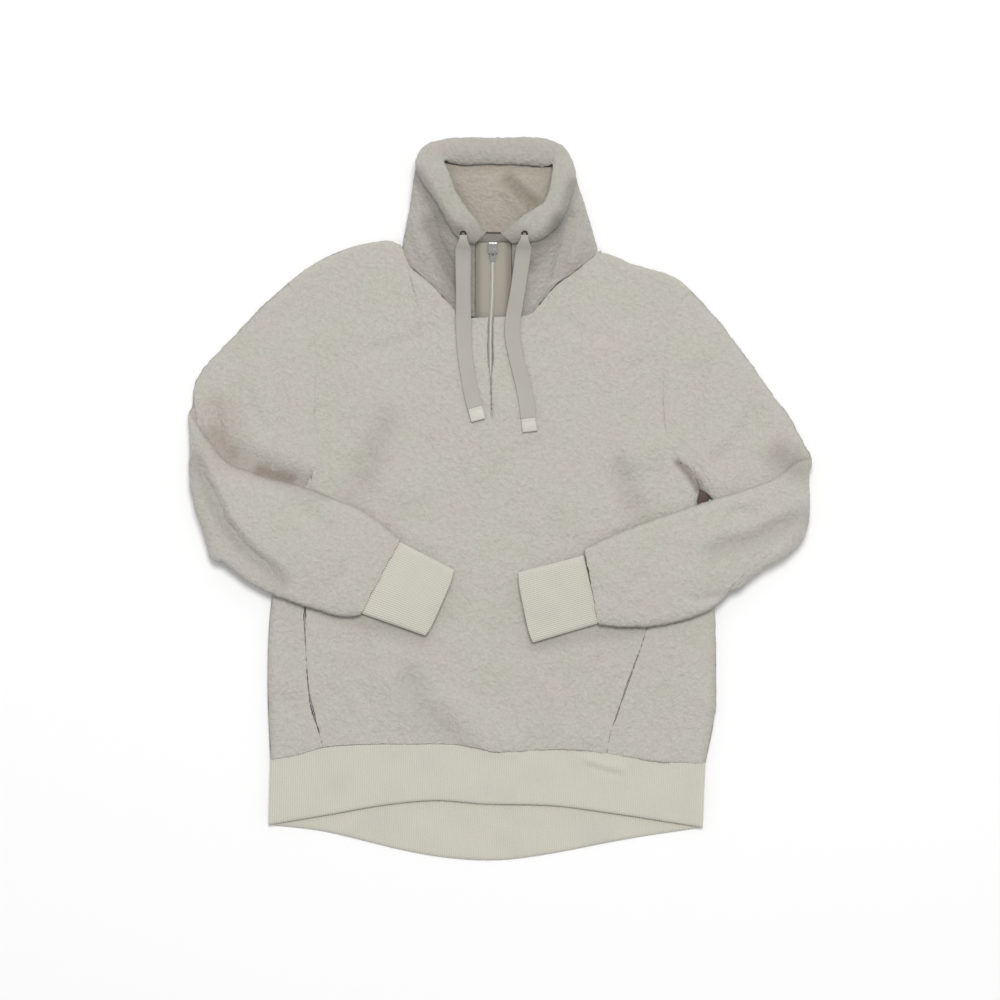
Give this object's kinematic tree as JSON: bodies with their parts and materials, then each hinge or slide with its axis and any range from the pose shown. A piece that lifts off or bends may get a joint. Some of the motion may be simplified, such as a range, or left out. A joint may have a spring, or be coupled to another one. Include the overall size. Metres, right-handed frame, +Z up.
{
  "type": "sherpa fleece pullover",
  "caption": "Sherpa fleece pullover with a funnel collar, half zip, flat drawcords and rib cuffs and hem, lying flat with its sleeves folded across it.",
  "frame": {"origin": "centre of the garment's box, on the surface it lies on", "axes": "+Z up from the surface, +Y from the hem to the collar, +X to the right as seen from above"},
  "size_m": [0.7173, 0.8269, 0.0571],
  "materials": {
    "fleece": "curled pile fleece, matt",
    "rib": "ribbed knit",
    "collar_lining": "pile fleece, matt",
    "zip_tape": "woven tape",
    "zip_coil": "moulded coil",
    "zip_metal": "satin",
    "eyelet": "dark plated",
    "drawcord": "flat braid",
    "cord_tip": "moulded, matt"
  },
  "bodies": {
    "garment": {"back": "fleece", "front": "fleece", "front_side_left": "fleece", "front_side_right": "fleece", "sleeve_left": "fleece", "sleeve_right": "fleece", "cuff_left": "rib", "cuff_right": "rib", "hem_band_front": "rib", "hem_band_back": "rib", "collar": "fleece", "collar_lining": "collar_lining", "zip_tape_left": "zip_tape", "zip_tape_right": "zip_tape", "zip_coil": "zip_coil", "zip_stop": "zip_metal", "zip_slider": "zip_metal", "eyelet_left": "eyelet", "eyelet_right": "eyelet", "drawcord_left": "drawcord", "drawcord_right": "drawcord", "cord_tip_left": "cord_tip", "cord_tip_right": "cord_tip"},
    "zip_pull": {"pull_tab": "zip_metal"}
  },
  "joints": [
    {"name": "pull_tab_hinge", "type": "hinge", "parent": "garment", "child": "zip_pull", "pos_m": [-0.0082, 0.28535, 0.04288], "axis": [-1, 0, 0], "range_deg": [0, 150]}
  ]
}
